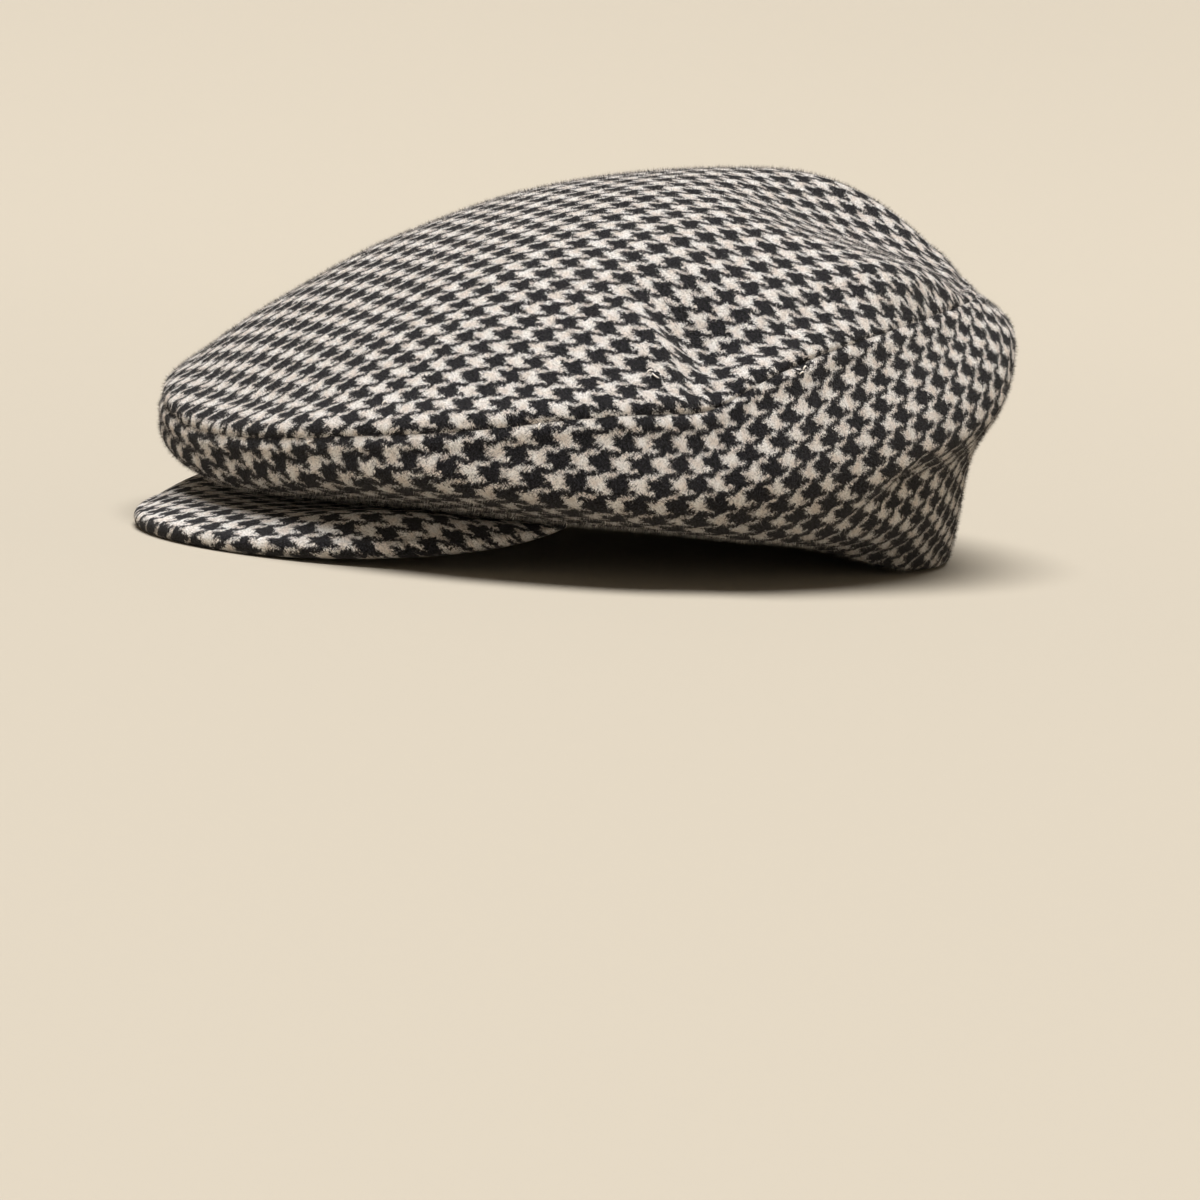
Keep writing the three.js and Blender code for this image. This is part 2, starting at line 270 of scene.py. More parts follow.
# Joins a grid of points (round the cap, along the section) into a closed mesh with its two maps.
# The first and last columns are the same place, but the cloth's map may differ there.
def clothMesh(name, points, flat, bake, poles=None):
    around, along = points.shape[0] - 1, points.shape[1]
    ids = np.arange(around * along).reshape(around, along)
    ids = np.concatenate([ids, ids[:1]])
    rows = np.arange(along - 1) if poles else np.arange(along)
    upper = (rows + 1) % along
    j = np.arange(around)[:, None]
    corners = [(j, rows), (j + 1, rows), (j + 1, upper), (j, upper)]
    quads = np.stack([ids[c] for c in corners], -1).reshape(-1, 4)
    flatLoops = np.stack([flat[c] for c in corners], 2).reshape(-1, 2)
    bakeLoops = np.stack([bake[c] for c in corners], 2).reshape(-1, 2)
    verts = points[:-1].reshape(-1, 3) * mm
    faces = quads.tolist()
    if poles:
        verts = np.concatenate([verts, np.array([pole["point"] for pole in poles]) * mm])
        for k, (pole, row) in enumerate(zip(poles, (0, along - 1))):
            order = (j[:, 0] + 1, j[:, 0]) if row == 0 else (j[:, 0], j[:, 0] + 1)
            tip = np.full(around, around * along + k)
            faces += np.stack([ids[order[0], row], ids[order[1], row], tip], 1).tolist()
            for loops, key, grid in ((0, "flat", flat), (1, "bake", bake)):
                fan = np.stack([grid[order[0], row], grid[order[1], row],
                                np.tile(pole[key], (around, 1))], 1).reshape(-1, 2)
                if loops == 0:
                    flatLoops = np.concatenate([flatLoops, fan])
                else:
                    bakeLoops = np.concatenate([bakeLoops, fan])
    mesh = bpy.data.meshes.new(name)
    mesh.from_pydata(verts.tolist(), [], faces)
    for key, loops in (("weave", flatLoops * mm), ("OFBake", bakeLoops)):
        layer = mesh.uv_layers.new(name=key)
        layer.data.foreach_set("uv", loops.astype(np.float32).ravel())
    mesh.polygons.foreach_set("use_smooth", np.ones(len(faces), bool))
    mesh.update()
    piece = bpy.data.objects.new(name, mesh)
    scene.collection.objects.link(piece)
    return piece


def markCover(piece, cover):  # share of the fuzz that each point carries
    attribute = piece.data.attributes.new("fuzzCover", "FLOAT", "POINT")
    attribute.data.foreach_set("value", cover.astype(np.float32).ravel())


def bakeMap(flat, half):  # the flat cloth laid in one half of the bake map
    low, high = flat.reshape(-1, 2).min(0), flat.reshape(-1, 2).max(0)
    share = (flat - low) / (high - low).max()
    return share * np.array([0.48, 0.98]) * np.array([1, 1]) + np.array([0.01 + 0.5 * half, 0.01])


# Top panel: straight grain, so the yarns run along and across the cap
topPanel = {"around": 340, "outerRows": 92, "innerRows": 16, "gathered": (70, 14), "closeness": 2.5}


def makeTop():
    turn = np.linspace(-180, 180, 3601)  # sections stand closer together where the cloth is gathered
    centre, halfWidth = topPanel["gathered"]
    total = np.cumsum(1 + topPanel["closeness"] * bell((turn - centre) / halfWidth))
    azimuth = np.interp(np.linspace(total[0], total[-1], topPanel["around"] + 1), total, turn)[:, None]
    edge = np.linspace(0, 1, topPanel["outerRows"], endpoint=False) ** 1.5
    middle = topPoint(np.zeros(1), np.ones(1))[0]

    def panelFlat(points, share):
        fine = np.linspace(0, 1, 121)
        lengths = sectionLength(topPoint(azimuth, fine[None]))
        toMiddle = np.stack([np.interp(share, fine, row[-1] - row) for row in lengths])
        plan = points[..., :2] - middle[:2]
        return unit(plan) * toMiddle[..., None]

    outer = topPoint(azimuth, edge[None])
    normal = outward(topPoint, azimuth, edge[None] + 0 * azimuth)
    fromSeam = sectionLength(outer)
    flat = panelFlat(outer, edge)
    raised = outer + normal * seamRelief(outer, fromSeam, azimuth, 0.3)[..., None]
    raised[:, 0] += unit(outer[:, 1] - outer[:, 0]) * capCut["seamGap"] / 2
    innerShare = np.linspace(0, 1, topPanel["innerRows"], endpoint=False)
    innerBase = topPoint(azimuth, innerShare[None])
    innerNormal = outward(topPoint, azimuth, innerShare[None] + 0 * azimuth)
    inner = innerBase - innerNormal * capCut["cloth"]
    inner[:, 0] += unit(outer[:, 1] - outer[:, 0]) * capCut["seamGap"] / 2
    innerFlat = panelFlat(innerBase, innerShare)
    points = np.concatenate([inner[:, ::-1], raised], 1)
    flats = np.concatenate([innerFlat[:, ::-1], flat], 1)
    bakes = np.concatenate([bakeMap(innerFlat, 1)[:, ::-1], bakeMap(flat, 0)], 1)
    poles = [
        {"point": middle - [0, 0, capCut["cloth"]], "flat": (0, 0), "bake": bakes[:, 0].mean(0)},
        {"point": middle, "flat": (0, 0), "bake": bakes[:, -1].mean(0)},
    ]
    piece = clothMesh("crown_top_cloth", points, flats, bakes, poles)
    rows = points.shape[1]
    cover = np.zeros((topPanel["around"], rows))
    cover[:, topPanel["innerRows"]:] = 1
    markCover(piece, np.concatenate([cover.ravel(), [0, 1]]))
    return piece, flat


# Side panel: one curved band round the cap. The turn of its weave from level follows the cut.
sidePanel = {
    "around": 360,
    "outerRows": 62,
    "innerRows": 18,
    "rimRows": 7,
    "midShare": 0.62,
    "turns": ((-180, -70), (-90, -42), (0, -14), (43, -4), (60, 1), (67, 4), (76, 21), (110, 25), (180, 40)),
}


def makeSide():
    azimuth = np.linspace(-180, 180, sidePanel["around"] + 1)[:, None]
    rimRound = capCut["hem"] / 2
    fine = np.linspace(0, 1, 121)
    fineLengths = sectionLength(sidePoint(azimuth, fine[None]))
    # shares are set by length, from just above the rim's rolled edge up to the seam
    spread = 1 - (1 - np.linspace(0, 1, sidePanel["outerRows"])) ** 1.5

    def sharesFor(parts):
        wanted = rimRound + parts[None] * (fineLengths[:, -1:] - rimRound)
        return np.stack([np.interp(w, row, fine) for w, row in zip(wanted, fineLengths)])

    share = sharesFor(spread)
    outer = sidePoint(azimuth, share)
    normal = outward(sidePoint, azimuth, share)
    length = np.stack([np.interp(s, fine, row) for s, row in zip(share, fineLengths)])
    fromSeam = fineLengths[:, -1:] - length

    # flat band: the middle line turns as the cut does, and each section stands on it
    midShare = np.full_like(azimuth, sidePanel["midShare"])
    line = sidePoint(azimuth, midShare)[:, 0]
    lineNormal = outward(sidePoint, azimuth, midShare)[:, 0]
    tangent = unit(np.gradient(line, axis=0))
    section = unit(sidePoint(azimuth, midShare + 0.02)[:, 0] - line)
    level = unit(np.cross([0, 0, 1], lineNormal))
    steep = np.cross(lineNormal, level)
    climb = np.arctan2((tangent * steep).sum(1), (tangent * level).sum(1))
    stand = np.arctan2((section * steep).sum(1), (section * level).sum(1))
    table = np.array(sidePanel["turns"], float)
    kernel = np.hanning(13) / np.hanning(13).sum()
    turn = np.interp(azimuth[:, 0], table[:, 0], table[:, 1])
    turn = np.convolve(np.pad(turn, 6, mode="edge"), kernel, mode="valid")
    levelAngle = np.radians(45 - turn)  # rows of the pattern lie halfway between the yarns
    steps = np.linalg.norm(np.diff(line, axis=0), axis=1)
    angle = levelAngle + climb
    angle = (angle[1:] + angle[:-1]) / 2
    walked = np.stack([np.cos(angle) * steps, np.sin(angle) * steps], 1)
    walked = np.concatenate([np.zeros((1, 2)), np.cumsum(walked, axis=0)])
    walked -= walked[len(walked) // 2]
    rise = np.stack([np.cos(levelAngle + stand), np.sin(levelAngle + stand)], 1)
    midLength = np.array([np.interp(sidePanel["midShare"], fine, row) for row in fineLengths])

    def bandFlat(lengths):
        return walked[:, None] + rise[:, None] * (lengths - midLength[:, None])[..., None]

    flat = bandFlat(length)
    raised = outer + normal * seamRelief(outer, fromSeam, azimuth, 1)[..., None]
    raised[:, -1] += unit(outer[:, -2] - outer[:, -1]) * capCut["seamGap"] / 2

    innerShare = sharesFor(np.linspace(0, 1, sidePanel["innerRows"]))
    innerBase = sidePoint(azimuth, innerShare)
    innerNormal = outward(sidePoint, azimuth, innerShare)
    innerLength = np.stack([np.interp(s, fine, row) for s, row in zip(innerShare, fineLengths)])
    hemmed = 1 - smoothStep(innerLength, capCut["hemHeight"] / 2, capCut["hemHeight"])
    thick = capCut["cloth"] + (capCut["hem"] - capCut["cloth"]) * hemmed
    inner = innerBase - innerNormal * thick[..., None]

    # rolled lower edge from the inside round to the outside
    middle = (raised[:, 0] + inner[:, 0]) / 2
    half = (raised[:, 0] - inner[:, 0]) / 2
    down = -unit(outer[:, 1] - outer[:, 0]) * rimRound
    turns = np.linspace(0, math.pi, sidePanel["rimRows"] + 2)[1:-1]
    rolled = np.stack([middle - half * math.cos(t) + down * math.sin(t) for t in turns], 1)
    rolledLength = np.stack([np.full(len(azimuth), rimRound * math.cos(t) * -1) for t in turns], 1)
    points = np.concatenate([raised, inner[:, ::-1], rolled], 1)
    points[..., 2] = np.maximum(points[..., 2], 0)  # the rim lies on the surface
    flats = np.concatenate([flat, bandFlat(innerLength)[:, ::-1], bandFlat(rolledLength)], 1)
    across = (azimuth + 180) / 360
    rows = points.shape[1]
    upward = np.linspace(0.01, 0.99, rows)[None]
    bakes = np.stack([0.01 + 0.98 * across + 0 * upward, upward + 0 * across], -1)
    piece = clothMesh("crown_side_cloth", points, flats, bakes)
    cover = np.zeros((sidePanel["around"], rows))
    cover[:, : sidePanel["outerRows"]] = 1
    cover[:, -sidePanel["rimRows"]:] = 1
    markCover(piece, cover * smoothStep(points[:-1, :, 2], 1, 3))
    return piece, flat


# Peak: a stiff board covered in the same cloth, with a rolled edge
peakPanel = {"around": 180, "depthRows": 26, "edgeRows": 13, "grain": 0}


def makePeak():
    p = peakCut
    along = np.linspace(1, -1, peakPanel["around"] + 1)
    azimuth = along * p["span"]
    s = stationAt(azimuth)
    away = np.abs(along)
    thickness = p["thickness"] + (p["endThickness"] - p["thickness"]) * away ** p["endTaper"]
    innerOut = s["rimOut"] - capCut["hem"]
    reach = p["reach"] * (1 - along ** 2) ** p["roundness"]
    edgeOut = np.maximum(s["rimOut"] + reach - thickness / 2, innerOut + thickness)
    innerUp = s["rimUp"] - 0.3 - thickness
    tipUp = -p["flattening"] + (innerUp + p["flattening"]) * away ** p["edgePower"]
    tipUp = np.maximum(0, tipUp)
    arch = p["arch"] * bell((away - p["archPlace"]) / p["archWidth"])
    crown = (p["crown"] + arch) * (1 - along ** 2)
    f = np.linspace(0, 1, peakPanel["depthRows"])[:, None]
    underOut = innerOut + (edgeOut - innerOut) * f
    underUp = innerUp + (tipUp - innerUp) * f + crown * np.sin(np.pi * f ** p["bulgePower"])
    angle = np.linspace(0, np.pi, peakPanel["edgeRows"] + 2)[1:-1, None]
    rollOut = edgeOut + thickness / 2 * np.sin(angle)
    rollUp = tipUp + thickness / 2 * (1 - np.cos(angle))
    outs = np.concatenate([underOut, rollOut, underOut[::-1]])
    ups = np.concatenate([underUp, rollUp, underUp[::-1] + thickness])
    points = np.stack([placed(azimuth, out, up) for out, up in zip(outs, ups)], 1)
    # the cloth runs from the inner edge of the upper face over the edge and back underneath
    lengths = sectionLength(points[:, ::-1])[:, ::-1]
    direction = placed(azimuth, np.ones_like(azimuth), 0.0)[:, :2] - np.array([0, rimCentreY])
    flats = direction[:, None] * (innerOut[:, None] + lengths)[..., None]
    rows = points.shape[1]
    across = (1 - along[:, None]) / 2
    upward = np.linspace(0.01, 0.99, rows)[None]
    bakes = np.stack([0.01 + 0.98 * across + 0 * upward, upward + 0 * across], -1)
    return points, flats, bakes


def peakMesh():
    points, flats, bakes = makePeak()
    around, rows = points.shape[0], points.shape[1]
    ids = np.arange(around * rows).reshape(around, rows)
    j = np.arange(around - 1)[:, None]
    i = np.arange(rows)
    upper = (i + 1) % rows
    corners = [(j, i), (j + 1, i), (j + 1, upper), (j, upper)]
    faces = np.stack([ids[c] for c in corners], -1).reshape(-1, 4).tolist()
    loops = {key: np.stack([grid[c] for c in corners], 2).reshape(-1, 2)
             for key, grid in (("weave", flats * mm), ("OFBake", bakes))}
    verts = np.concatenate([points.reshape(-1, 3), points[[0, -1]].mean(1)]) * mm
    for k, end in ((0, 0), (1, around - 1)):
        a, b = (ids[end], ids[end][upper]) if end else (ids[end][upper], ids[end])
        tip = np.full(rows, around * rows + k)
        faces += np.stack([a, b, tip], 1).tolist()
        for key, grid in (("weave", flats * mm), ("OFBake", bakes)):
            first, second = (grid[end], grid[end][upper]) if end else (grid[end][upper], grid[end])
            fan = np.stack([first, second, np.tile(grid[end].mean(0), (rows, 1))], 1).reshape(-1, 2)
            loops[key] = np.concatenate([loops[key], fan])
    mesh = bpy.data.meshes.new("peak_cloth")
    mesh.from_pydata(verts.tolist(), [], faces)
    for key in ("weave", "OFBake"):
        layer = mesh.uv_layers.new(name=key)
        layer.data.foreach_set("uv", loops[key].astype(np.float32).ravel())
    mesh.polygons.foreach_set("use_smooth", np.ones(len(faces), bool))
    mesh.update()
    piece = bpy.data.objects.new("peak_cloth", mesh)
    scene.collection.objects.link(piece)
    cover = smoothStep(points[..., 2], 1, 3)
    markCover(piece, np.concatenate([cover.ravel(), [0, 0]]))
    return piece


crownTop, topFlat = makeTop()
crownSide, sideFlat = makeSide()
peak = peakMesh()
for piece in (crownTop, crownSide, peak):
    print("made", piece.name, len(piece.data.polygons), "faces")


# Materials
def linear(hexColour):
    values = [int(hexColour[k:k + 2], 16) / 255 for k in (1, 3, 5)]
    return tuple(v / 12.92 if v <= 0.04045 else ((v + 0.055) / 1.055) ** 2.4 for v in values) + (1.0,)


def addNode(tree, kind, inputs=None, **settings):
    node = tree.nodes.new(kind)
    for key, value in settings.items():
        setattr(node, key, value)
    for key, value in (inputs or {}).items():
        if isinstance(value, bpy.types.NodeSocket):
            tree.links.new(value, node.inputs[key])
        else:
            node.inputs[key].default_value = value
    return node


# Houndstooth wool, a 2 and 2 twill of four dark and four light yarns each way, milled so that its face is fuzzy.
# It is quite matt, its stars have soft ragged edges and the dark yarns spread a little over the light ones.
wool = {
    "repeat": 7.95,  # mm, eight yarns
    "spread": 0.15,  # yarns that the dark bands gain on each side
    "dark": "#060608",
    "darkFibre": "#3f3e44",
    "cream": "#fdf9f4",
    # painted shade for the gaps between fibres and the edges of the light yarns
    "creamGapShadow": "#958c86",
    "tan": "#eee2d7",
    "strays": (  # fineness along the two yarns, reach along them in yarns, share
        (0.75, 2.8, 3.4, 1.0, 0.37),
        (2.8, 0.75, 1.0, 3.4, 0.37),
        (1.8, 1.8, 2.9, 2.9, 0.26),
    ),
    "wander": 1.1,  # yarns
    "paintedUpLight": 0.22,  # painted light and shade: how much more light fibre is painted where the cloth faces up, and less where it faces sideways or down
    "yarnRelief": 0.4,  # mm
}


def houndstoothWool():
    material = bpy.data.materials.new("houndstooth_wool")
    material.use_nodes = True
    tree = material.node_tree
    tree.nodes.clear()

    def calc(operation, a, b=0.0):
        return addNode(tree, "ShaderNodeMath", {0: a, 1: b}, operation=operation).outputs[0]

    def vector(operation, a, b):
        return addNode(tree, "ShaderNodeVectorMath", {0: a, 1: b}, operation=operation).outputs[0]

    def noise(place, stretch, offset=0.0, detail=2.0):
        moved = vector("ADD", vector("MULTIPLY", place, (*stretch, 1)), (offset, 2 * offset, 0))
        return addNode(tree, "ShaderNodeTexNoise", {"Vector": moved, "Scale": 1.0, "Detail": detail}).outputs

    def strayed(place, stretch, reach, offset):
        drift = vector("SUBTRACT", noise(place, stretch, offset)["Color"], (0.5, 0.5, 0.5))
        return vector("ADD", place, vector("MULTIPLY", drift, (2 * reach[0], 2 * reach[1], 0)))

    def banded(along):  # four dark yarns of every eight, a little widened
        shifted = calc("FLOORED_MODULO", calc("ADD", along, wool["spread"]), 8.0)
        return calc("LESS_THAN", shifted, 4 + 2 * wool["spread"])

    def stars(place):  # share of dark, and how high the yarn on top stands
        axes = addNode(tree, "ShaderNodeSeparateXYZ", {0: place}).outputs
        step = calc("SUBTRACT", calc("FLOOR", axes[0]), calc("FLOOR", axes[1]))
        warpUp = calc("LESS_THAN", calc("FLOORED_MODULO", step, 4.0), 1.5)
        dark = addNode(tree, "ShaderNodeMix", {0: warpUp, 2: banded(axes[1]), 3: banded(axes[0])}, data_type="FLOAT")
        fx = calc("SUBTRACT", calc("FRACT", axes[0]), 0.5)
        fy = calc("SUBTRACT", calc("FRACT", axes[1]), 0.5)
        across = addNode(tree, "ShaderNodeMix", {0: warpUp, 2: fy, 3: fx}, data_type="FLOAT").outputs[0]
        return dark.outputs[0], calc("SUBTRACT", 1.0, calc("MULTIPLY", calc("MULTIPLY", across, across), 4.0))

    flat = addNode(tree, "ShaderNodeAttribute", attribute_name="weave").outputs["Vector"]
    perYarn = 1000 * 8 / wool["repeat"]
    yarns = vector("MULTIPLY", flat, (perYarn, perYarn, 0))
    place = strayed(yarns, (0.22, 0.22), (wool["wander"], wool["wander"]), 0)
    dark = 0.0
    for k, (fineX, fineY, reachX, reachY, share) in enumerate(wool["strays"]):
        layer, height = stars(strayed(place, (fineX, fineY), (reachX, reachY), 13.7 * (k + 1)))
        dark = calc("ADD", calc("MULTIPLY", layer, share), dark)
        relief = height if k == 0 else relief
    # painted light and shade: the pattern is painted lighter where the cloth faces up and darker where it faces
    # sideways or down
    facing = addNode(tree, "ShaderNodeSeparateXYZ", {0: addNode(tree, "ShaderNodeNewGeometry").outputs["Normal"]})
    lighter = calc("MULTIPLY", calc("SUBTRACT", facing.outputs[2], 0.45), wool["paintedUpLight"])
    dark = addNode(tree, "ShaderNodeMapRange", {0: calc("SUBTRACT", dark, lighter), 1: 0.1, 2: 0.55}).outputs[0]

    # single fibres: streaks both ways, lighter hairs on the dark yarns, and painted shade in the gaps between fibres
    # and at the edges of each yarn in the light ones
    fibre = 0.0
    for k, stretch in enumerate(((3.2, 1.1), (1.1, 3.2), (2.4, 2.4))):
        fibre = calc("ADD", calc("MULTIPLY", noise(yarns, stretch, 5.1 * k)[0], 1 / 3), fibre)
    hairs = addNode(tree, "ShaderNodeMapRange", {0: fibre, 1: 0.46, 2: 0.64}).outputs[0]
    gaps = addNode(tree, "ShaderNodeMapRange", {0: fibre, 1: 0.53, 2: 0.39}).outputs[0]
    gaps = calc("ADD", calc("MULTIPLY", gaps, 0.75), calc("MULTIPLY", calc("SUBTRACT", 1.0, relief), 0.15))
    stains = addNode(tree, "ShaderNodeMapRange", {0: noise(yarns, (0.3, 0.3), 3.3)[0], 1: 0.4, 2: 0.65}).outputs[0]
    warm = addNode(tree, "ShaderNodeMix", {0: stains, 6: linear(wool["cream"]), 7: linear(wool["tan"])},
                   data_type="RGBA").outputs[2]
    darkShade = addNode(tree, "ShaderNodeMix", {0: hairs, 6: linear(wool["dark"]), 7: linear(wool["darkFibre"])},
                        data_type="RGBA", clamp_factor=True).outputs[2]
    creamShade = addNode(tree, "ShaderNodeMix", {0: gaps, 6: warm, 7: linear(wool["creamGapShadow"])},
                         data_type="RGBA", clamp_factor=True).outputs[2]
    colour = addNode(tree, "ShaderNodeMix", {0: dark, 6: creamShade, 7: darkShade}, data_type="RGBA").outputs[2]

    height = calc("ADD", calc("MULTIPLY", relief, 0.4), calc("MULTIPLY", fibre, 3.6))
    bump = addNode(tree, "ShaderNodeBump", {"Strength": 0.8, "Distance": wool["yarnRelief"] * mm, "Height": height})
    shader = addNode(tree, "ShaderNodeBsdfPrincipled", {
        "Base Color": colour, "Roughness": 0.95, "Specular IOR Level": 0.12, "Sheen Weight": 0.08,
        "Sheen Roughness": 0.5, "Sheen Tint": linear("#efeae2"), "Normal": bump.outputs[0]})
    addNode(tree, "ShaderNodeOutputMaterial", {0: shader.outputs[0]})
    return material


woolMaterial = houndstoothWool()
for piece in (crownTop, crownSide, peak):
    piece.data.materials.append(woolMaterial)

# Fuzz: loose wool fibres that stand off the cloth, each a thin blade that keeps the colour of its yarn
fuzz = {
    "length": (0.5, 1.5),  # mm
    "width": 0.07,  # mm
    "lean": 86,  # degrees from upright
    "counts": {"crown_top_cloth": 190000, "crown_side_cloth": 190000, "peak_cloth": 80000},
    "seed": 7,
}


def fuzzTree():
    tree = bpy.data.node_groups.new("wool fuzz", "GeometryNodeTree")
    face = tree.interface
    face.new_socket("Cloth", in_out="INPUT", socket_type="NodeSocketGeometry")
    for name, kind in (("Density", "NodeSocketFloat"), ("Shortest", "NodeSocketFloat"),
                       ("Longest", "NodeSocketFloat"), ("Width", "NodeSocketFloat"),
                       ("Lean", "NodeSocketFloat"), ("Seed", "NodeSocketInt"), ("Wool", "NodeSocketMaterial")):
        face.new_socket(name, in_out="INPUT", socket_type=kind)
    face.new_socket("Fuzz", in_out="OUTPUT", socket_type="NodeSocketGeometry")
    source = addNode(tree, "NodeGroupInput")
    given = source.outputs
    cover = addNode(tree, "GeometryNodeInputNamedAttribute", {"Name": "fuzzCover"}, data_type="FLOAT")
    density = addNode(tree, "ShaderNodeMath", {0: given["Density"], 1: cover.outputs[0]}, operation="MULTIPLY")
    roots = addNode(tree, "GeometryNodeDistributePointsOnFaces",
                    {"Mesh": given["Cloth"], "Density": density.outputs[0], "Seed": given["Seed"]})
    triangle = addNode(tree, "GeometryNodeMeshCircle", {"Vertices": 3, "Radius": 1.0}, fill_type="NGON")
    blade = addNode(tree, "GeometryNodeTransform", {"Geometry": triangle.outputs[0], "Translation": (0, 0, 0.5),
                    "Rotation": (0, -math.pi / 2, 0), "Scale": (1, 1, 1)})
    length = addNode(tree, "FunctionNodeRandomValue", {2: given["Shortest"], 3: given["Longest"], "Seed": 3})
    size = addNode(tree, "ShaderNodeCombineXYZ", {0: 1.0, 1: given["Width"], 2: length.outputs[1]})
    lean = addNode(tree, "FunctionNodeRandomValue", {2: 0.0, 3: given["Lean"], "Seed": 11})
    spin = addNode(tree, "FunctionNodeRandomValue", {2: 0.0, 3: 2 * math.pi, "Seed": 17})
    spinTurn = addNode(tree, "FunctionNodeEulerToRotation",
                       {0: addNode(tree, "ShaderNodeCombineXYZ", {2: spin.outputs[1]}).outputs[0]})
    leanTurn = addNode(tree, "FunctionNodeEulerToRotation",
                       {0: addNode(tree, "ShaderNodeCombineXYZ", {1: lean.outputs[1]}).outputs[0]})
    spun = addNode(tree, "FunctionNodeRotateRotation", {0: roots.outputs["Rotation"], 1: spinTurn.outputs[0]},
                   rotation_space="LOCAL")
    leant = addNode(tree, "FunctionNodeRotateRotation", {0: spun.outputs[0], 1: leanTurn.outputs[0]},
                    rotation_space="LOCAL")
    blades = addNode(tree, "GeometryNodeInstanceOnPoints", {"Points": roots.outputs["Points"],
                     "Instance": blade.outputs[0], "Rotation": leant.outputs[0], "Scale": size.outputs[0]})
    real = addNode(tree, "GeometryNodeRealizeInstances", {"Geometry": blades.outputs[0]})
    dressed = addNode(tree, "GeometryNodeSetMaterial", {"Geometry": real.outputs[0], "Material": given["Wool"]})
    addNode(tree, "NodeGroupOutput", {"Fuzz": dressed.outputs[0]})
    return tree


def growFuzz(piece, tree):
    area = sum(p.area for p in piece.data.polygons)
    cover = np.empty(len(piece.data.vertices), np.float32)
    piece.data.attributes["fuzzCover"].data.foreach_get("value", cover)
    outerArea = sum(p.area for p in piece.data.polygons if cover[p.vertices[0]] > 0.5)
    carrier = bpy.data.objects.new(piece.name + "_fuzz_carrier", piece.data)
    scene.collection.objects.link(carrier)
    modifier = carrier.modifiers.new("fuzz", "NODES")
    modifier.node_group = tree
    values = {
        "Density": fuzz["counts"][piece.name] / outerArea,
        "Shortest": fuzz["length"][0] * mm / 1.5,
        "Longest": fuzz["length"][1] * mm / 1.5,
        "Width": fuzz["width"] * mm / 1.73,
        "Lean": math.radians(fuzz["lean"]),
        "Seed": fuzz["seed"],
        "Wool": woolMaterial,
    }
    for item in tree.interface.items_tree:
        if item.in_out == "INPUT" and item.name in values:
            modifier[item.identifier] = values[item.name]
    graph = bpy.context.evaluated_depsgraph_get()
    mesh = bpy.data.meshes.new_from_object(carrier.evaluated_get(graph))
    mesh.name = piece.name.replace("cloth", "fuzz")
    bpy.data.objects.remove(carrier)
    count = len(mesh.vertices)
    corner = np.empty(len(mesh.loops), np.int32)
    mesh.loops.foreach_get("vertex_index", corner)
    for key, spread in (("weave", 0.0), ("OFBake", 0.002)):
        source = mesh.attributes[key]
        width = 2 if source.data_type == "FLOAT2" else 3
        values = np.empty(count * width, np.float32)
        source.data.foreach_get("vector", values)
        values = values.reshape(count, width)[corner, :2]
        values += spread * np.tile(((0, 0), (1, 0), (0, 1)), (len(values) // 3, 1))
        mesh.attributes.remove(mesh.attributes[key])
        layer = mesh.uv_layers.new(name=key)
        layer.data.foreach_set("uv", values.ravel())
    grown = bpy.data.objects.new(mesh.name, mesh)
    scene.collection.objects.link(grown)
    print("grew", grown.name, len(mesh.polygons), "fibres on", round(outerArea, 4), "of", round(area, 4), "m2")
    return grown


fuzzGroup = fuzzTree()
topFuzz = growFuzz(crownTop, fuzzGroup)
sideFuzz = growFuzz(crownSide, fuzzGroup)
peakFuzz = growFuzz(peak, fuzzGroup)

# Pulled yarns: a few ends and small loops that have come out of the face of the cloth
pulledYarns = {
    "radius": 0.24,  # mm
    "sides": 6,
    "steps": 16,
    "lift": 0.45,  # mm, at the middle of each
    "rows": (  # panel, azimuth, share, heading, length, turn, colour
        ("top", 60.5, 0.19, 150, 3.4, 210, "dark"),
        ("top", 61.1, 0.187, 20, 2.2, -80, "dark"),
        ("top", 60.9, 0.178, -20, 3.2, 120, "cream"),
        ("top", 60.2, 0.202, 70, 2.6, -150, "cream"),
        ("side", 83.4, 0.972, 80, 3.0, 140, "cream"),
        ("side", 84.0, 0.984, 10, 2.6, -110, "cream"),
        ("side", 82.9, 0.982, 0, 3.2, 25, "dark"),
        ("side", 19, 0.965, 30, 2.2, 170, "cream"),
        ("side", 47, 0.985, 20, 2.6, 130, "cream"),
        ("top", 27, 0.16, 60, 2.4, -160, "cream"),
    ),
}


def yarnWool(name, colour, fibreColour):  # one soft spun yarn, matt and streaked with its fibres
    material = bpy.data.materials.new(name)
    material.use_nodes = True
    tree = material.node_tree
    shader = tree.nodes["Principled BSDF"]
    place = addNode(tree, "ShaderNodeTexCoord").outputs["Object"]
    fibres = addNode(tree, "ShaderNodeTexNoise", {"Vector": place, "Scale": 3000.0, "Detail": 2.0}).outputs[0]
    shade = addNode(tree, "ShaderNodeMix", {0: fibres, 6: linear(colour), 7: linear(fibreColour)}, data_type="RGBA")
    tree.links.new(shade.outputs[2], shader.inputs["Base Color"])
    shader.inputs["Roughness"].default_value = 0.95
    shader.inputs["Specular IOR Level"].default_value = 0.12
    return material


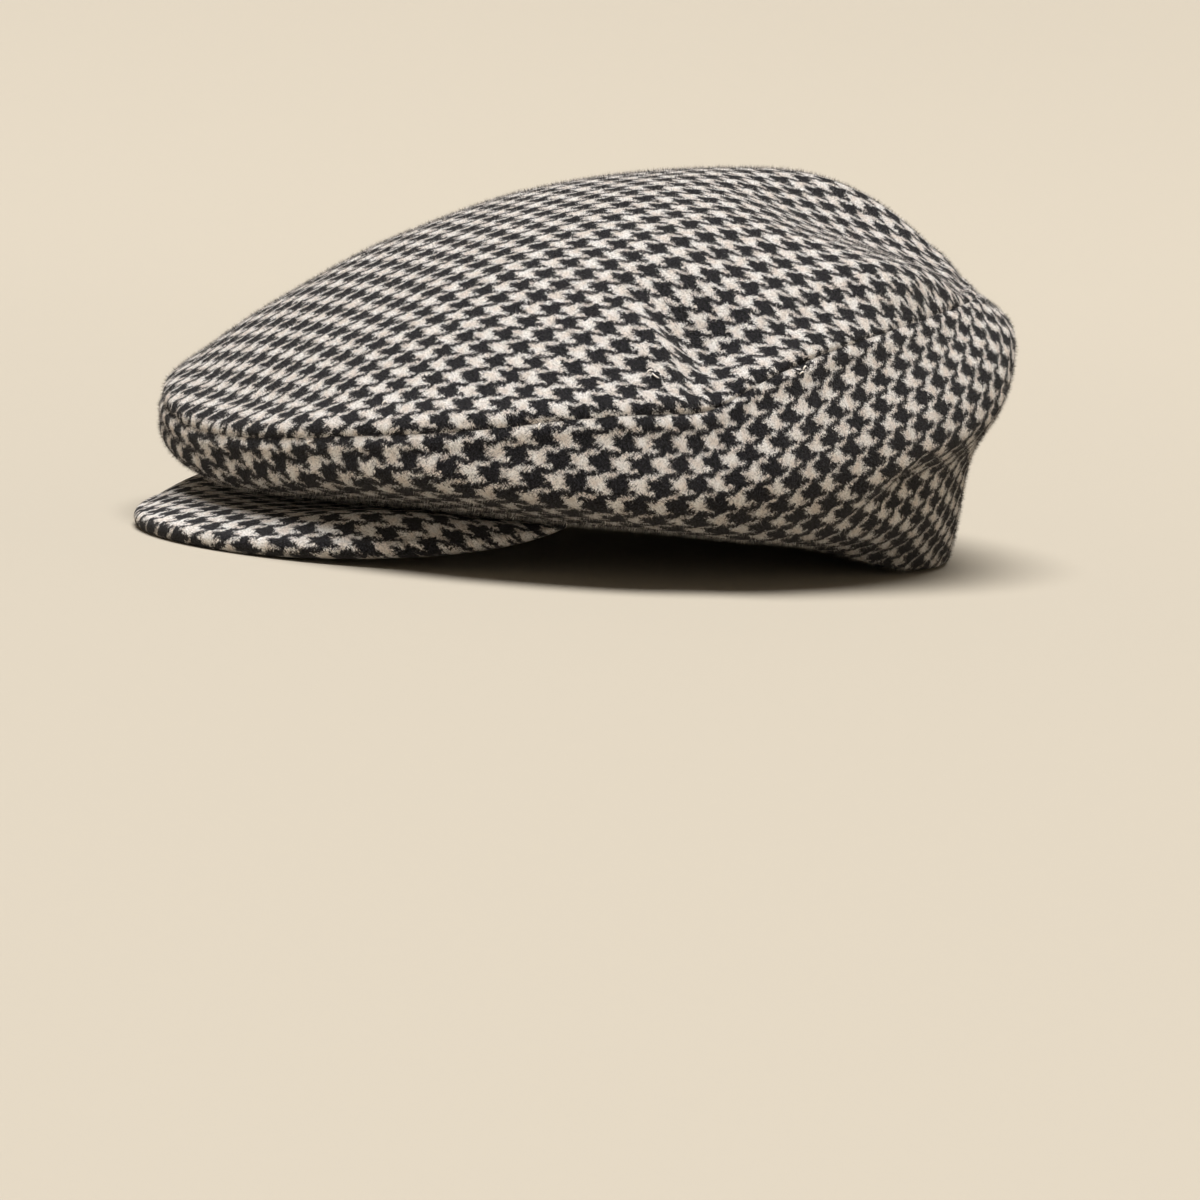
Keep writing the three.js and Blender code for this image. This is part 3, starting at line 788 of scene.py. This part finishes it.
def makeYarns():
    steps, sides = pulledYarns["steps"], pulledYarns["sides"]
    t = np.linspace(0, 1, steps)
    verts, faces, shades = [], [], []
    for panel, azimuth, share, heading, length, turn, colour in pulledYarns["rows"]:
        surface = topPoint if panel == "top" else sidePoint
        spot = (np.array([float(azimuth)]), np.array([share]))
        base = surface(*spot)[0]
        normal = outward(surface, *spot)[0]
        along = unit(surface(spot[0], spot[1] + 0.01)[0] - base)
        across = np.cross(normal, along)
        angle = np.radians(heading + turn * t)
        path = np.cumsum(np.stack([np.cos(angle), np.sin(angle)], 1) * length / steps, axis=0)
        path -= path.mean(0)
        lift = pulledYarns["lift"] * (0.4 + np.sin(np.pi * t))
        line = base + path[:, :1] * across + path[:, 1:] * along + lift[:, None] * normal
        sideways = unit(np.cross(np.gradient(line, axis=0), normal))
        radius = pulledYarns["radius"] * (1 - (2 * t - 1) ** 4)[1:-1, None, None]
        ring = np.linspace(0, 2 * np.pi, sides, endpoint=False)[None, :, None]
        tube = line[1:-1, None] + radius * (np.cos(ring) * sideways[1:-1, None] + np.sin(ring) * normal)
        start = len(verts)
        verts += [tuple(p) for p in np.concatenate([line[:1], tube.reshape(-1, 3), line[-1:]]) * mm]
        ids = start + 1 + np.arange((steps - 2) * sides).reshape(steps - 2, sides)
        onward = np.roll(ids, -1, axis=1)
        quads = np.stack([ids[:-1], onward[:-1], onward[1:], ids[1:]], -1).reshape(-1, 4).tolist()
        caps = [(start, onward[0, k], ids[0, k]) for k in range(sides)]
        caps += [(len(verts) - 1, ids[-1, k], onward[-1, k]) for k in range(sides)]
        faces += quads + [tuple(int(v) for v in cap) for cap in caps]
        shades += [0 if colour == "dark" else 1] * (len(quads) + len(caps))
    mesh = bpy.data.meshes.new("pulled_yarns")
    mesh.from_pydata(verts, [], faces)
    mesh.materials.append(yarnWool("dark_wool_yarn", wool["dark"], wool["darkFibre"]))
    mesh.materials.append(yarnWool("cream_wool_yarn", wool["cream"], wool["tan"]))
    mesh.polygons.foreach_set("material_index", np.array(shades, np.int32))
    mesh.polygons.foreach_set("use_smooth", np.ones(len(faces), bool))
    mesh.update()
    piece = bpy.data.objects.new("pulled_yarns", mesh)
    scene.collection.objects.link(piece)
    print("laid", len(pulledYarns["rows"]), "pulled yarns")
    return piece


yarnEnds = makeYarns()

# Every piece belongs to the one body, and the imported parts that they replace are hidden
for piece, node in ((crownTop, "crown_top"), (crownSide, "crown_side"), (peak, "peak")):
    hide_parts(node)
for piece in (crownTop, crownSide, peak, topFuzz, sideFuzz, peakFuzz, yarnEnds):
    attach(piece, "root")


# Floor: a pale level sweep that curves up far behind the cap on every side
floor = {"flat": 1.1, "fillet": 2.0, "wall": 2.3, "colour": "#b1a899"}


def makeFloor():
    profile = [(r, 0.0) for r in (0.0, 0.4, 0.9, floor["flat"])]
    for t in np.linspace(0, math.pi / 2, 13)[1:]:
        profile.append((floor["flat"] + floor["fillet"] * math.sin(t), floor["fillet"] * (1 - math.cos(t))))
    profile.append((floor["flat"] + floor["fillet"], floor["wall"]))
    sides = 96
    verts = [(0.0, 0.0, 0.0)]
    for radius, height in profile[1:]:
        for k in range(sides):
            angle = 2 * math.pi * k / sides
            verts.append((radius * math.cos(angle), radius * math.sin(angle), height))
    faces = [(0, 1 + k, 1 + (k + 1) % sides) for k in range(sides)]
    for ring in range(len(profile) - 2):
        for k in range(sides):
            a = 1 + ring * sides + k
            b = 1 + ring * sides + (k + 1) % sides
            faces.append((a, a + sides, b + sides, b))
    mesh = bpy.data.meshes.new("floor")
    mesh.from_pydata(verts, [], faces)
    mesh.polygons.foreach_set("use_smooth", np.ones(len(faces), bool))
    sweep = bpy.data.objects.new("floor", mesh)
    scene.collection.objects.link(sweep)
    material = bpy.data.materials.new("matt_paint")  # plain matt paint, no pattern
    material.use_nodes = True
    shader = material.node_tree.nodes["Principled BSDF"]
    shader.inputs["Base Color"].default_value = linear(floor["colour"])
    shader.inputs["Roughness"].default_value = 0.9
    shader.inputs["Specular IOR Level"].default_value = 0.15
    mesh.materials.append(material)


makeFloor()

# Camera: the fitted viewing angle of the photograph, in degrees, millimetres and pixels of its 1200
camera = {
    "azimuth": 58.0,
    "elevation": 3.96,
    "roll": 4.16,
    "distance": 1300.0,
    "target": (0.0, rimCentreY - 10, 55.0),
    "aimRight": 4.1,
    "aimUp": -72.0,
    "focal": 3.515 * 1300,
}


def makeCamera():
    a = math.radians(camera["azimuth"])
    e = math.radians(camera["elevation"])
    target = Vector(camera["target"]) * mm
    back = Vector((math.sin(a) * math.cos(e), -math.cos(a) * math.cos(e), math.sin(e)))
    place = target + back * camera["distance"] * mm
    aim = target + Vector((math.cos(a), math.sin(a), 0)) * camera["aimRight"] * mm
    aim.z += camera["aimUp"] * mm
    back = (place - aim).normalized()
    right = Vector((0, 0, 1)).cross(back).normalized()
    up = back.cross(right)
    t = math.radians(camera["roll"])
    right, up = right * math.cos(t) + up * math.sin(t), up * math.cos(t) - right * math.sin(t)
    data = bpy.data.cameras.new("camera")
    data.sensor_width = 36
    data.lens = camera["focal"] / 1200 * 36
    data.clip_start = 0.05
    holder = bpy.data.objects.new("camera", data)
    holder.matrix_world = Matrix(((right.x, up.x, back.x, place.x), (right.y, up.y, back.y, place.y),
                                  (right.z, up.z, back.z, place.z), (0, 0, 0, 1)))
    scene.collection.objects.link(holder)
    scene.camera = holder


makeCamera()

# Light: one very broad soft light from above, a little to the front, in an even room
lights = {"direction": (-0.06, 0.04, -1.0), "spread": 46, "strength": 5.2, "room": 0.02}
sky = bpy.data.lights.new("overhead", "SUN")
sky.energy = lights["strength"]
sky.angle = math.radians(lights["spread"])
overhead = bpy.data.objects.new("overhead", sky)
overhead.rotation_euler = Vector(lights["direction"]).to_track_quat("-Z", "Y").to_euler()
scene.collection.objects.link(overhead)
world = bpy.data.worlds.new("room")
world.use_nodes = True
world.node_tree.nodes["Background"].inputs["Color"].default_value = (1, 1, 1, 1)
world.node_tree.nodes["Background"].inputs["Strength"].default_value = lights["room"]
scene.world = world
scene.view_settings.view_transform = "Standard"
print("set camera, floor and lights")
